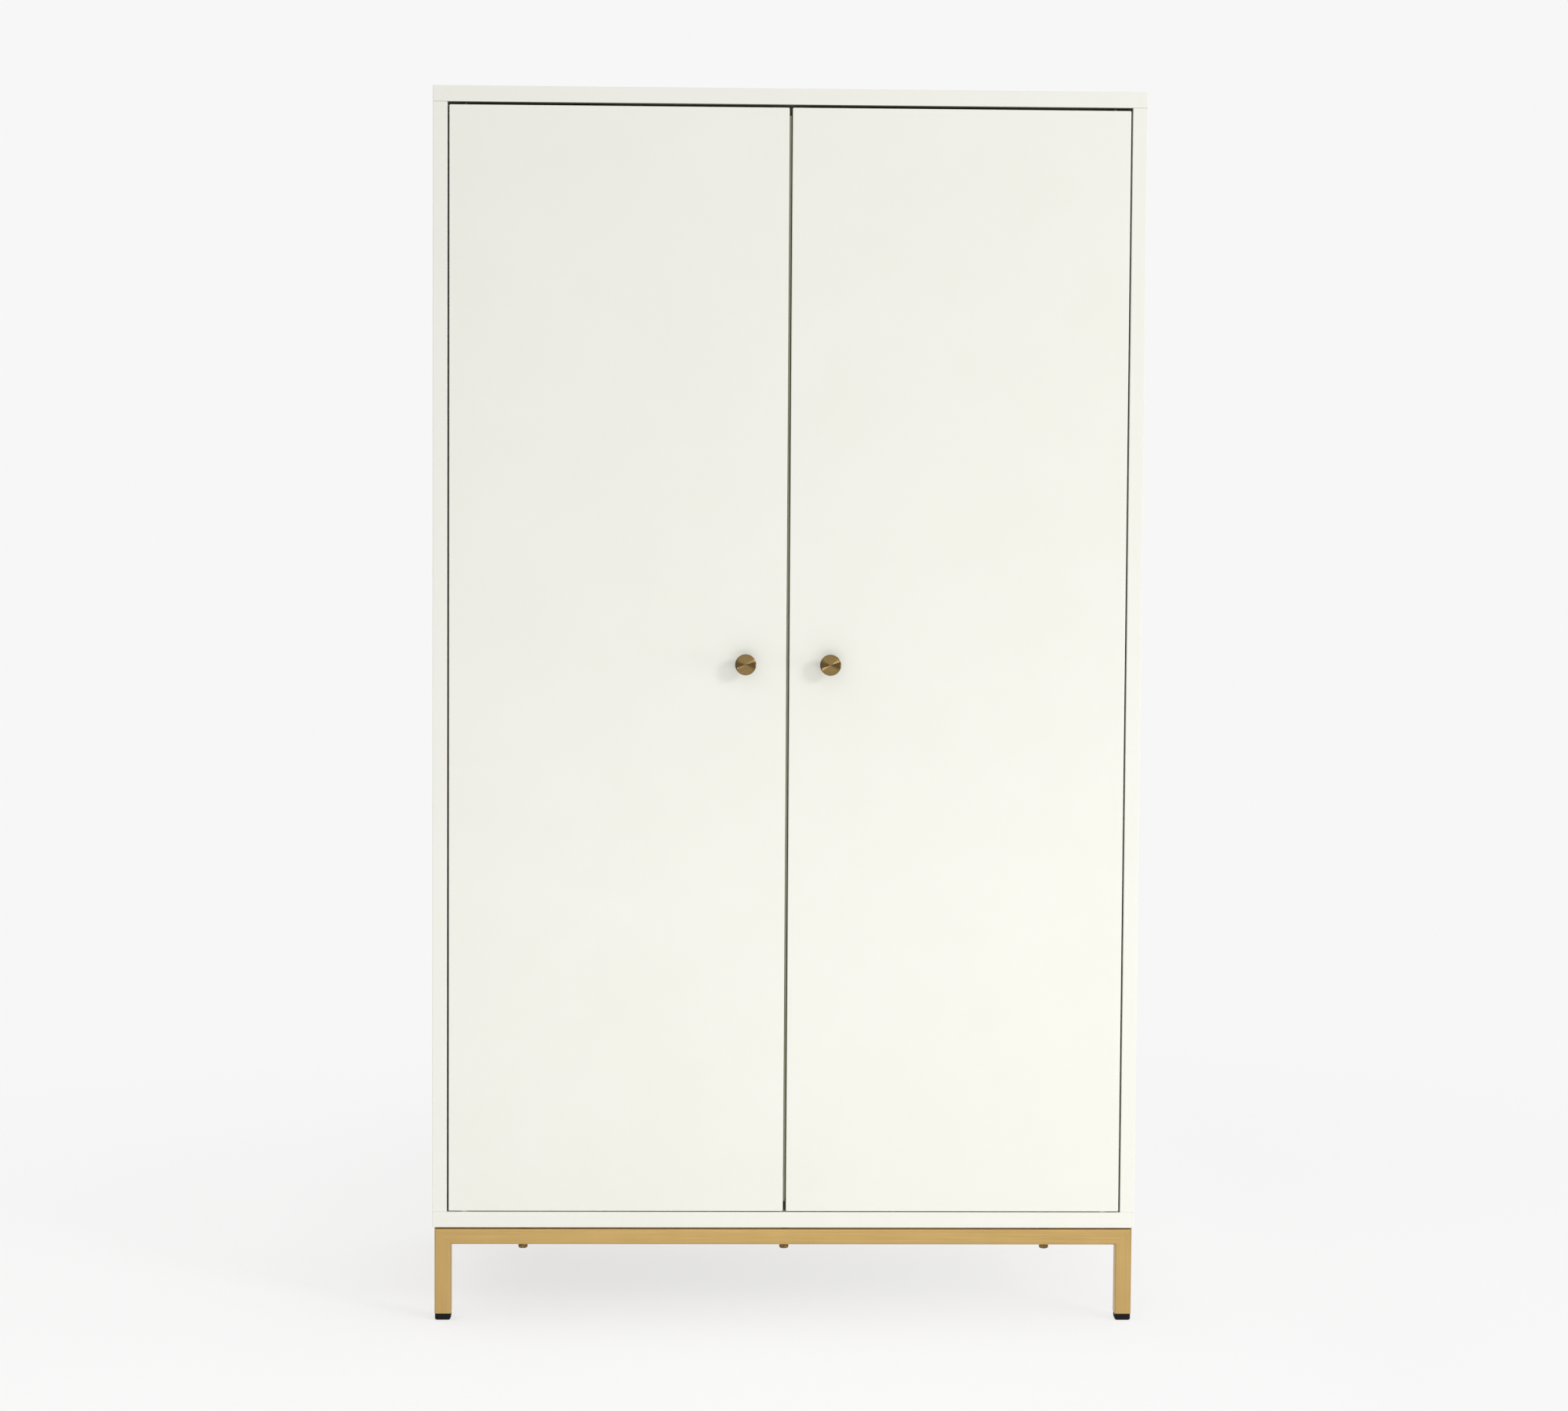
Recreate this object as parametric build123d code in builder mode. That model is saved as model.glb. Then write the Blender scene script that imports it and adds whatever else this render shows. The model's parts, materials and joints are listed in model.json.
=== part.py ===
import os

from build123d import *

os.makedirs("parts", exist_ok=True)

# Case: top and bottom boards run the full width, the sides stand between them.
case_width = 1080.0
case_height = 1737.0
case_depth = 560.0
base_height = 145.0
board_thick = 24.0
side_thick = 22.0
edge_ease = 0.8

# The knobs reach forward of the case, so the case stands back to centre the whole on the origin.
knob_reach = 26.0
middle_y = knob_reach / 2

half_width = case_width / 2
front = middle_y - case_depth / 2
back = middle_y + case_depth / 2
case_top = base_height + case_height
opening_bottom = base_height + board_thick
opening_top = case_top - board_thick
opening_height = opening_top - opening_bottom
opening_half = half_width - side_thick

# Back panel in a rebate.
rebate_width = 10.0
rebate_depth = 7.0
back_thick = 6.0
back_play = 0.5
back_screw_inset = 5.0
back_screw_rows = 5
back_screw_columns = 3

# Dowels in the case corners.
dowel_size = 8.0
dowel_length = 36.0
dowel_in_board = 14.0
dowel_play = 0.1
dowel_count = 4
dowel_pitch = 140.0
dowel_rows = [middle_y + dowel_pitch * (row - (dowel_count - 1) / 2) for row in range(dowel_count)]

# Doors: flush with the case front.
door_thick = 20.0
gap_side = 2.8
gap_centre = 4.8
gap_top = 4.4
gap_bottom = 1.6
door_corner = 2.0
door_ease = 1.2
door_width = opening_half - gap_side - gap_centre / 2
door_low = opening_bottom + gap_bottom
door_high = opening_top - gap_top
door_height = door_high - door_low
door_back = front + door_thick

# Pivots: a pin on a plate in each board turns in a bush in the door's edge.
pivot_inset = 24.0
pivot_y = front + door_thick / 2
pivot_plate_length = 60.0
pivot_plate_width = 12.0
pivot_plate_thick = 3.0
pivot_plate_corner = 4.0
pivot_plate_start = 6.0
pivot_screw_offsets = [18.0, 34.0]
pivot_pin_size = 6.0
pivot_pin_low = 5.5
pivot_pin_high = 14.0
pivot_pin_chamfer = 0.8
pivot_bush_size = 11.0
pivot_bush_depth = 18.0
pivot_bore_depth = 16.0
pivot_running_play = 0.05
washer_size = 13.0
washer_bore = 6.6
washer_thick = 1.5
fit_play = 0.1

# Strip behind the meeting edge of the left door.
strip_lap = 27.6
strip_reach = 3.4
strip_nose = 12.0
strip_off_door = 0.5
strip_thick = 10.0
strip_screws = 5
strip_screw_end = 60.0

# Magnetic catches behind the meeting edges, top and bottom.
catch_width = 56.0
catch_depth = 16.0
catch_height = 14.0
catch_corner = 2.0
catch_screw_offset = 5.5
magnet_offset = 17.0
magnet_width = 13.0
magnet_depth = 9.0
magnet_height = 7.0
magnet_proud = 0.4
strike_width = 16.0
strike_height = 7.0
strike_thick = 1.2
strike_air = 0.3
strike_edge = 1.5
strike_offset = 17.0
catch_face = door_back + strike_thick + strike_air + magnet_proud
catch_low_level = door_low + strike_edge + strike_height / 2
catch_high_level = door_high - strike_edge - strike_height / 2

# The strip runs between the catches.
strip_air = 1.0
strip_low = opening_bottom + catch_height + strip_air
strip_high = opening_top - catch_height - strip_air

# Knobs.
knob_size = 32.0
knob_foot = 14.0
knob_neck = 10.0
knob_neck_end = 10.0
knob_head_start = 18.5
knob_rim_start = 20.5
knob_chamfer = 1.3
knob_neck_run = (0, -1)
knob_flare_run = (1, -0.25)
knob_from_edge = 62.0
knob_bore_depth = 12.0
knob_thread = 4.0
knob_screw_head = 8.0
knob_screw_length = 30.0
knob_height = door_low + door_height / 2

# Shelf, pins and hanging rail.
shelf_thick = 20.0
shelf_under = 1540.0
shelf_set_back = 44.0
shelf_front = front + shelf_set_back
shelf_side_play = 1.0
shelf_back_play = 1.0
shelf_pin_pitch = 208.0
shelf_pin_count = 3
shelf_pin_set_back = 33.0
shelf_pin_first = shelf_front + shelf_pin_set_back
shelf_pin_rows = [shelf_pin_first + shelf_pin_pitch * row for row in range(shelf_pin_count)]
shelf_hole_step = 32.0
shelf_hole_levels = [-1, 0, 1]
shelf_pin_size = 5.0
shelf_pin_depth = 10.0
shelf_peg_size = 7.0
shelf_peg_length = 10.0
rod_size = 25.0
rod_wall = 1.5
rod_height = 1490.0
rod_behind_middle = 12.0
rod_y = middle_y + rod_behind_middle
rod_play = 0.3
socket_flange = 58.0
socket_flange_thick = 4.0
socket_ring = 33.0
socket_ring_length = 16.0
socket_screw_circle = 46.0
socket_screws = 3

# Base of square tube.
tube = 25.0
tube_wall = 1.5
tube_corner = 2.5
base_inset = 3.0
spacer_thick = 2.0
spacer_size = 20.0
foot_height = 10.5
foot_size = 24.0
foot_corner = 4.0
foot_round = 3.0
plug_chamfer = 1.2
plug_size = 21.4
plug_corner = 1.5
plug_height = 16.0
leg_x = half_width - base_inset - tube / 2
leg_reach = case_depth / 2 - base_inset - tube / 2
leg_front = middle_y - leg_reach
leg_back = middle_y + leg_reach
rail_top = base_height - spacer_thick
rail_low = rail_top - tube

# Bolts that hold the case on the base.
bolt_columns = [-402.0, 0.0, 402.0]
bolt_size = 8.0
bolt_hole = 8.6
bolt_collar = 12.5
bolt_collar_height = 3.0
bolt_head = 14.6
bolt_head_height = 4.5
bolt_head_round = 2.5
bolt_in_board = 13.0
bolt_key = 5.0
bolt_key_depth = 2.6
insert_size = 12.0
insert_length = 14.0
insert_hole_depth = 15.0

# Wood screws: head size, shank size, length; heads sit a little below the surface.
screw_sunk = 0.1
screw_brim = 0.4
screw_hole_rise = 1.0
plate_screw = (6.6, 3.5, 18.0)
back_screw = (7.0, 3.5, 16.0)
strip_screw = (7.0, 3.5, 20.0)
catch_screw = (5.6, 3.0, 24.0)
strike_screw = (5.4, 3.0, 12.0)
socket_screw = (7.0, 3.5, 17.0)

# Turns that point a screw, drawn head up, into the material.
drive_down = (0, 0, 0)
drive_up = (180, 0, 0)
drive_front = (-90, 0, 0)
drive_left = (0, 90, 0)
drive_right = (0, -90, 0)


def keep(piece, name):
    """Label one finished piece and write its file."""
    piece.label = name
    export_step(piece, f"parts/{name}.step")
    print(name, len(piece.solids()), round(piece.volume))


def hand_word(hand):
    return "left" if hand < 0 else "right"


def screw_shape(kind, play=0.0, head_rise=0.0):
    """A countersunk screw with its head at the origin, pointing down; play widens it into its hole."""
    head, shank, length = kind
    head_r = head / 2 + play
    shank_r = shank / 2 + play
    sunk = screw_sunk - play
    brim_end = sunk + screw_brim
    cone_end = brim_end + head_r - shank_r
    tip = length + play
    with BuildPart() as screw:
        with BuildSketch(Plane.XZ):
            with BuildLine():
                Polyline(
                    (0, head_rise - sunk),
                    (head_r, head_rise - sunk),
                    (head_r, -brim_end),
                    (shank_r, -cone_end),
                    (shank_r, -tip + shank_r),
                    (0, -tip),
                    close=True,
                )
            make_face()
        revolve(axis=Axis.Z)
    return screw.part


def screw_group(kind, places, turn):
    """Separate screws of one kind at the given places."""
    shape = screw_shape(kind)
    with BuildPart() as group:
        with Locations(*[Location(place, turn) for place in places]):
            add(shape)
    return group.part


def screw_hole(kind):
    return screw_shape(kind, play=fit_play, head_rise=screw_hole_rise)


def plate_middle(hand):
    return hand * (opening_half - gap_side - pivot_plate_start - pivot_plate_length / 2)


def pivot_x(hand):
    return hand * (opening_half - gap_side - pivot_inset)


def plate_screw_columns(hand):
    return [pivot_x(hand) - hand * offset for offset in pivot_screw_offsets]


def back_screw_places():
    """Screws down both upright edges and along the top and bottom edges of the back panel."""
    column = opening_half + back_screw_inset
    step = opening_height / back_screw_rows
    places = []
    for row in range(back_screw_rows):
        level = opening_bottom + step * (row + 0.5)
        places.append((-column, back_face, level))
        places.append((column, back_face, level))
    spread = 2 * opening_half / back_screw_columns
    for place in range(back_screw_columns):
        across = -opening_half + spread * (place + 0.5)
        places.append((across, back_face, opening_bottom - back_screw_inset))
        places.append((across, back_face, opening_top + back_screw_inset))
    return places


back_face = back - rebate_depth + back_thick


# Top and bottom boards.
def case_board(name, level, inner_level, outward):
    """A full-width board; its inner face carries dowel holes, pivot seats and the back rebate."""
    inward = -outward
    with BuildPart() as board:
        with BuildSketch(Plane.XY.offset(level)):
            with Locations((0, middle_y)):
                Rectangle(case_width, case_depth)
        extrude(amount=board_thick)
        fillet(board.edges(), edge_ease)
        with BuildSketch(Plane.XY.offset(inner_level)):
            with Locations((0, back - rebate_depth / 2)):
                Rectangle(2 * (opening_half + rebate_width), rebate_depth)
        extrude(amount=outward * rebate_width, mode=Mode.SUBTRACT)
        with BuildSketch(Plane.XY.offset(inner_level)):
            for hand in (-1, 1):
                with Locations(*[(hand * (half_width - side_thick / 2), row) for row in dowel_rows]):
                    Circle(dowel_size / 2 + dowel_play)
        extrude(amount=outward * (dowel_in_board + dowel_play), mode=Mode.SUBTRACT)
        with BuildSketch(Plane.XY.offset(inner_level)):
            for hand in (-1, 1):
                with Locations((plate_middle(hand), pivot_y)):
                    RectangleRounded(
                        pivot_plate_length + 2 * fit_play,
                        pivot_plate_width + 2 * fit_play,
                        pivot_plate_corner,
                    )
        extrude(amount=outward * pivot_plate_thick, mode=Mode.SUBTRACT)
        turn = drive_down if outward < 0 else drive_up
        pivot_places = [(x, pivot_y, inner_level) for hand in (-1, 1) for x in plate_screw_columns(hand)]
        with Locations(*[Location(place, turn) for place in pivot_places]):
            add(screw_hole(plate_screw), mode=Mode.SUBTRACT)
        catch_places = catch_screw_places(inner_level, inward)
        with Locations(*[Location(place, turn) for place in catch_places]):
            add(screw_hole(catch_screw), mode=Mode.SUBTRACT)
        edge_level = inner_level + outward * back_screw_inset
        edge_places = [place for place in back_screw_places() if abs(place[2] - edge_level) < 1]
        with Locations(*[Location(place, drive_front) for place in edge_places]):
            add(screw_hole(back_screw), mode=Mode.SUBTRACT)
        if outward < 0:
            with BuildSketch(Plane.XY.offset(level)):
                with Locations(*[(x, y) for x in bolt_columns for y in (leg_front, leg_back)]):
                    Circle(insert_size / 2 + fit_play)
            extrude(amount=insert_hole_depth, mode=Mode.SUBTRACT)
    keep(board.part, name)


def catch_screw_places(inner_level, inward):
    """Two screws through each catch into the board it sits on."""
    middle = catch_face + catch_depth / 2
    level = inner_level + inward * catch_height
    return [(-catch_screw_offset, middle, level), (catch_screw_offset, middle, level)]


case_board("top_panel", opening_top, opening_top, 1)
case_board("bottom_panel", base_height, opening_bottom, -1)


# Sides.
def side_panel(hand):
    middle = hand * (half_width - side_thick / 2)
    inner_plane = Plane.YZ.offset(hand * opening_half)
    with BuildPart() as panel:
        with BuildSketch(Plane.XY.offset(opening_bottom)):
            with Locations((middle, middle_y)):
                Rectangle(side_thick, case_depth)
        extrude(amount=opening_height)
        fillet(panel.edges(), edge_ease)
        with BuildSketch(Plane.XY.offset(opening_bottom)):
            with Locations((hand * (opening_half + rebate_width / 2), back - rebate_depth / 2)):
                Rectangle(rebate_width, rebate_depth)
        extrude(amount=opening_height, mode=Mode.SUBTRACT)
        for level, inward in ((opening_bottom, 1), (opening_top, -1)):
            with BuildSketch(Plane.XY.offset(level)):
                with Locations(*[(middle, row) for row in dowel_rows]):
                    Circle(dowel_size / 2 + dowel_play)
            extrude(amount=inward * (dowel_length - dowel_in_board + dowel_play), mode=Mode.SUBTRACT)
        with BuildSketch(inner_plane):
            with Locations(*shelf_hole_places()):
                Circle(shelf_pin_size / 2 + fit_play)
        extrude(amount=hand * (shelf_pin_depth + fit_play), mode=Mode.SUBTRACT)
        with Locations(*[Location(place, socket_turn(hand)) for place in socket_screw_places(hand)]):
            add(screw_hole(socket_screw), mode=Mode.SUBTRACT)
        edge_places = [place for place in back_screw_places() if place[0] * hand > opening_half]
        with Locations(*[Location(place, drive_front) for place in edge_places]):
            add(screw_hole(back_screw), mode=Mode.SUBTRACT)
    keep(panel.part, f"side_panel_{hand_word(hand)}")


def shelf_hole_places():
    """Holes at three heights, so the shelf can be moved; the pins are in the middle ones."""
    middle = shelf_under - shelf_peg_size / 2
    return [(row, middle + shelf_hole_step * level) for row in shelf_pin_rows for level in shelf_hole_levels]


def socket_turn(hand):
    return drive_right if hand > 0 else drive_left


def socket_screw_places(hand):
    """Screw heads on the room side of the socket flange, evenly round the rail."""
    face = hand * (opening_half - socket_flange_thick)
    places = []
    for number in range(socket_screws):
        spoke = Vector(socket_screw_circle / 2, 0, 0).rotate(Axis.Z, 90 + 360 * number / socket_screws)
        places.append((face, rod_y + spoke.X, rod_height + spoke.Y))
    return places


for hand in (-1, 1):
    side_panel(hand)


# Back panel with its screws.
with BuildPart() as back_panel:
    with BuildSketch(Plane.XZ.offset(-(back - rebate_depth))):
        with Locations((0, (opening_bottom + opening_top) / 2)):
            Rectangle(
                2 * (opening_half + rebate_width - back_play),
                opening_height + 2 * (rebate_width - back_play),
            )
    extrude(amount=-back_thick)
    with Locations(*[Location(place, drive_front) for place in back_screw_places()]):
        add(screw_hole(back_screw), mode=Mode.SUBTRACT)
keep(back_panel.part, "back_panel")
keep(screw_group(back_screw, back_screw_places(), drive_front), "back_panel_screws")

# Dowels between the boards and the sides.
with BuildPart() as carcass_dowels:
    for hand in (-1, 1):
        for level, inward in ((opening_bottom, 1), (opening_top, -1)):
            with BuildSketch(Plane.XY.offset(level - inward * dowel_in_board)):
                with Locations(*[(hand * (half_width - side_thick / 2), row) for row in dowel_rows]):
                    Circle(dowel_size / 2)
            extrude(amount=inward * dowel_length)
keep(carcass_dowels.part, "carcass_dowels")


# Pivot plates in the boards: flush in their seats, each with its pin.
def pivot_case_plate(hand, place, level, outward, pin_length):
    inward = -outward
    turn = drive_down if outward < 0 else drive_up
    with BuildPart() as plate:
        with BuildSketch(Plane.XY.offset(level)):
            with Locations((plate_middle(hand), pivot_y)):
                RectangleRounded(pivot_plate_length, pivot_plate_width, pivot_plate_corner)
        extrude(amount=outward * pivot_plate_thick)
        with BuildSketch(Plane.XY.offset(level)):
            with Locations((pivot_x(hand), pivot_y)):
                Circle(pivot_pin_size / 2)
        extrude(amount=inward * pin_length)
        tip = plate.faces().sort_by(Axis.Z)[-1 if inward > 0 else 0]
        chamfer(tip.edges(), pivot_pin_chamfer)
        with Locations(*[Location((x, pivot_y, level), turn) for x in plate_screw_columns(hand)]):
            add(screw_hole(plate_screw), mode=Mode.SUBTRACT)
    keep(plate.part, f"pivot_case_plate_{place}_{hand_word(hand)}")


# Pivot plates in the doors: flush in the door's edge, each with a bush round the pin.
def pivot_door_plate(hand, place, level, outward):
    inward = -outward
    turn = drive_up if outward < 0 else drive_down
    with BuildPart() as plate:
        with BuildSketch(Plane.XY.offset(level)):
            with Locations((plate_middle(hand), pivot_y)):
                RectangleRounded(pivot_plate_length, pivot_plate_width, pivot_plate_corner)
        extrude(amount=inward * pivot_plate_thick)
        with BuildSketch(Plane.XY.offset(level)):
            with Locations((pivot_x(hand), pivot_y)):
                Circle(pivot_bush_size / 2)
        extrude(amount=inward * pivot_bush_depth)
        with BuildSketch(Plane.XY.offset(level)):
            with Locations((pivot_x(hand), pivot_y)):
                Circle(pivot_pin_size / 2 + pivot_running_play)
        extrude(amount=inward * pivot_bore_depth, mode=Mode.SUBTRACT)
        with Locations(*[Location((x, pivot_y, level), turn) for x in plate_screw_columns(hand)]):
            add(screw_hole(plate_screw), mode=Mode.SUBTRACT)
    keep(plate.part, f"pivot_door_plate_{place}_{hand_word(hand)}")


def pivot_screws(hand):
    """The screws of one door's four plates: two pairs in the boards, two pairs in the door."""
    columns = plate_screw_columns(hand)
    shape = screw_shape(plate_screw)
    low_case = [Location((x, pivot_y, opening_bottom), drive_down) for x in columns]
    high_case = [Location((x, pivot_y, opening_top), drive_up) for x in columns]
    low_door = [Location((x, pivot_y, door_low), drive_up) for x in columns]
    high_door = [Location((x, pivot_y, door_high), drive_down) for x in columns]
    with BuildPart() as case_screws:
        with Locations(*low_case, *high_case):
            add(shape)
    keep(case_screws.part, f"pivot_case_screws_{hand_word(hand)}")
    with BuildPart() as door_screws:
        with Locations(*low_door, *high_door):
            add(shape)
    keep(door_screws.part, f"pivot_door_screws_{hand_word(hand)}")


for hand in (-1, 1):
    pivot_case_plate(hand, "low", opening_bottom, -1, pivot_pin_low)
    pivot_case_plate(hand, "high", opening_top, 1, pivot_pin_high)
    pivot_door_plate(hand, "low", door_low, -1)
    pivot_door_plate(hand, "high", door_high, 1)
    pivot_screws(hand)

# Washers on the lower pins carry the doors.
with BuildPart() as pivot_washers:
    with BuildSketch(Plane.XY.offset(opening_bottom)):
        with Locations((pivot_x(-1), pivot_y), (pivot_x(1), pivot_y)):
            Circle(washer_size / 2)
            Circle(washer_bore / 2, mode=Mode.SUBTRACT)
    extrude(amount=washer_thick)
keep(pivot_washers.part, "pivot_washers")


# Doors.
def knob_x(hand):
    return hand * (gap_centre / 2 + knob_from_edge)


def strike_places(hand):
    """Strike plates face the catches: one near the lower edge, one near the upper edge."""
    return [(hand * strike_offset, door_back, level) for level in (catch_low_level, catch_high_level)]


def strip_screw_places():
    middle = -gap_centre / 2 - strip_lap / 2
    low = strip_low + strip_screw_end
    high = strip_high - strip_screw_end
    step = (high - low) / (strip_screws - 1)
    return [(middle, door_back + strip_thick, low + step * number) for number in range(strip_screws)]


def door(hand):
    middle = hand * (gap_centre / 2 + door_width / 2)
    with BuildPart() as leaf:
        with BuildSketch(Plane.XZ.offset(-front)):
            with Locations((middle, door_low + door_height / 2)):
                RectangleRounded(door_width, door_height, door_corner)
        extrude(amount=-door_thick)
        rims = leaf.faces().filter_by(Axis.Y)
        fillet(rims.edges(), door_ease)
        for level, inward in ((door_low, 1), (door_high, -1)):
            with BuildSketch(Plane.XY.offset(level)):
                with Locations((plate_middle(hand), pivot_y)):
                    RectangleRounded(
                        pivot_plate_length + 2 * fit_play,
                        pivot_plate_width + 2 * fit_play,
                        pivot_plate_corner,
                    )
            extrude(amount=inward * pivot_plate_thick, mode=Mode.SUBTRACT)
            with BuildSketch(Plane.XY.offset(level)):
                with Locations((pivot_x(hand), pivot_y)):
                    Circle(pivot_bush_size / 2 + fit_play)
            extrude(amount=inward * (pivot_bush_depth + fit_play), mode=Mode.SUBTRACT)
            turn = drive_up if inward > 0 else drive_down
            with Locations(*[Location((x, pivot_y, level), turn) for x in plate_screw_columns(hand)]):
                add(screw_hole(plate_screw), mode=Mode.SUBTRACT)
        with BuildSketch(Plane.XZ.offset(-front)):
            with Locations((knob_x(hand), knob_height)):
                Circle(knob_thread / 2 + fit_play)
        extrude(amount=-door_thick, mode=Mode.SUBTRACT)
        with Locations(Location((knob_x(hand), door_back, knob_height), drive_front)):
            add(screw_hole(knob_screw), mode=Mode.SUBTRACT)
        strike_faces = [(x, y + strike_thick, z) for x, y, z in strike_places(hand)]
        with Locations(*[Location(place, drive_front) for place in strike_faces]):
            add(screw_hole(strike_screw), mode=Mode.SUBTRACT)
        if hand < 0:
            with Locations(*[Location(place, drive_front) for place in strip_screw_places()]):
                add(screw_hole(strip_screw), mode=Mode.SUBTRACT)
    keep(leaf.part, f"door_{hand_word(hand)}")


knob_screw = (knob_screw_head, knob_thread, knob_screw_length)


# Turned knob: a foot, a waisted neck and a flat disc with a chamfered rim.
def knob(hand):
    centre = Plane(origin=(knob_x(hand), front, knob_height), x_dir=(1, 0, 0), z_dir=(0, -1, 0))
    with BuildPart() as turned:
        with BuildSketch(Plane(centre.origin, x_dir=centre.x_dir, z_dir=(0, 0, 1))):
            with BuildLine():
                Polyline(
                    (0, 0),
                    (knob_foot / 2, 0),
                    (knob_foot / 2, -knob_chamfer),
                    (knob_neck / 2, -knob_neck_end),
                )
                Spline(
                    (knob_neck / 2, -knob_neck_end),
                    (knob_size / 2 - knob_chamfer, -knob_head_start),
                    tangents=(knob_neck_run, knob_flare_run),
                )
                Polyline(
                    (knob_size / 2 - knob_chamfer, -knob_head_start),
                    (knob_size / 2, -knob_rim_start),
                    (knob_size / 2, -knob_reach + knob_chamfer),
                    (knob_size / 2 - knob_chamfer, -knob_reach),
                    (0, -knob_reach),
                    (0, 0),
                )
            make_face()
        revolve(axis=Axis(centre.origin, (0, 1, 0)))
        with BuildSketch(centre):
            Circle(knob_thread / 2 + pivot_running_play)
        extrude(amount=knob_bore_depth, mode=Mode.SUBTRACT)
    keep(turned.part, f"knob_{hand_word(hand)}")
    place = [(knob_x(hand), door_back, knob_height)]
    keep(screw_group(knob_screw, place, drive_front), f"knob_screw_{hand_word(hand)}")


def strike_plates(hand):
    with BuildPart() as strikes:
        with BuildSketch(Plane.XZ.offset(-door_back)):
            with Locations(*[(x, z) for x, y, z in strike_places(hand)]):
                Rectangle(strike_width, strike_height)
        extrude(amount=-strike_thick)
        faces = [(x, y + strike_thick, z) for x, y, z in strike_places(hand)]
        with Locations(*[Location(place, drive_front) for place in faces]):
            add(screw_hole(strike_screw), mode=Mode.SUBTRACT)
    keep(strikes.part, f"strike_plates_{hand_word(hand)}")
    keep(screw_group(strike_screw, faces, drive_front), f"strike_screws_{hand_word(hand)}")


for hand in (-1, 1):
    door(hand)
    knob(hand)
    strike_plates(hand)

# Strip that closes the view between the doors: its nose stands in the gap, clear of the right door's edge.
with BuildPart() as gap_strip:
    door_edge = -gap_centre / 2
    nose_front = front + strip_nose
    strip_back = door_back + strip_thick
    with BuildSketch(Plane.XY.offset(strip_low)):
        with BuildLine():
            Polyline(
                (door_edge - strip_lap, door_back),
                (door_edge + strip_off_door, door_back),
                (door_edge + strip_off_door, nose_front),
                (door_edge + strip_reach, nose_front),
                (door_edge + strip_reach, strip_back),
                (door_edge - strip_lap, strip_back),
                close=True,
            )
        make_face()
    extrude(amount=strip_high - strip_low)
    fillet(gap_strip.faces().sort_by(Axis.Y)[-1].edges(), door_ease)
    with Locations(*[Location(place, drive_front) for place in strip_screw_places()]):
        add(screw_hole(strip_screw), mode=Mode.SUBTRACT)
keep(gap_strip.part, "gap_strip")
keep(screw_group(strip_screw, strip_screw_places(), drive_front), "gap_strip_screws")


# Magnetic catches: a housing on each board with two magnets facing the doors.
def catch(place, inner_level, inward, middle_z):
    turn = drive_down if inward > 0 else drive_up
    behind_doors = catch_face + catch_depth / 2
    with BuildPart() as housing:
        with BuildSketch(Plane.XY.offset(inner_level)):
            with Locations((0, behind_doors)):
                RectangleRounded(catch_width, catch_depth, catch_corner)
        extrude(amount=inward * catch_height)
        with BuildSketch(Plane.XZ.offset(-catch_face)):
            with Locations((-magnet_offset, middle_z), (magnet_offset, middle_z)):
                Rectangle(magnet_width + 2 * fit_play, magnet_height + 2 * fit_play)
        extrude(amount=-magnet_depth, mode=Mode.SUBTRACT)
        with Locations(*[Location(spot, turn) for spot in catch_screw_places(inner_level, inward)]):
            add(screw_hole(catch_screw), mode=Mode.SUBTRACT)
    keep(housing.part, f"catch_{place}")
    spots = catch_screw_places(inner_level, inward)
    keep(screw_group(catch_screw, spots, turn), f"catch_screws_{place}")


catch("low", opening_bottom, 1, catch_low_level)
catch("high", opening_top, -1, catch_high_level)
with BuildPart() as catch_magnets:
    with BuildSketch(Plane.XZ.offset(-(catch_face - magnet_proud))):
        for level in (catch_low_level, catch_high_level):
            with Locations((-magnet_offset, level), (magnet_offset, level)):
                Rectangle(magnet_width, magnet_height)
    extrude(amount=-magnet_depth)
keep(catch_magnets.part, "catch_magnets")

# Shelf on its pins.
with BuildPart() as shelf:
    shelf_back = back - rebate_depth - shelf_back_play
    with BuildSketch(Plane.XY.offset(shelf_under)):
        with Locations((0, (shelf_front + shelf_back) / 2)):
            Rectangle(2 * (opening_half - shelf_side_play), shelf_back - shelf_front)
    extrude(amount=shelf_thick)
    fillet(shelf.edges(), edge_ease)
keep(shelf.part, "shelf")
with BuildPart() as shelf_pins:
    for hand in (-1, 1):
        spots = [(row, shelf_under - shelf_peg_size / 2) for row in shelf_pin_rows]
        with BuildSketch(Plane.YZ.offset(hand * opening_half)):
            with Locations(*spots):
                Circle(shelf_pin_size / 2)
        extrude(amount=hand * shelf_pin_depth)
        with BuildSketch(Plane.YZ.offset(hand * opening_half)):
            with Locations(*spots):
                Circle(shelf_peg_size / 2)
        extrude(amount=-hand * shelf_peg_length)
keep(shelf_pins.part, "shelf_pins")

# Hanging rail and its end sockets.
with BuildPart() as hanging_rod:
    rod_end = opening_half - socket_flange_thick - back_play
    with BuildSketch(Plane.YZ.offset(-rod_end)):
        with Locations((rod_y, rod_height)):
            Circle(rod_size / 2)
            Circle(rod_size / 2 - rod_wall, mode=Mode.SUBTRACT)
    extrude(amount=2 * rod_end)
keep(hanging_rod.part, "hanging_rod")


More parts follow.
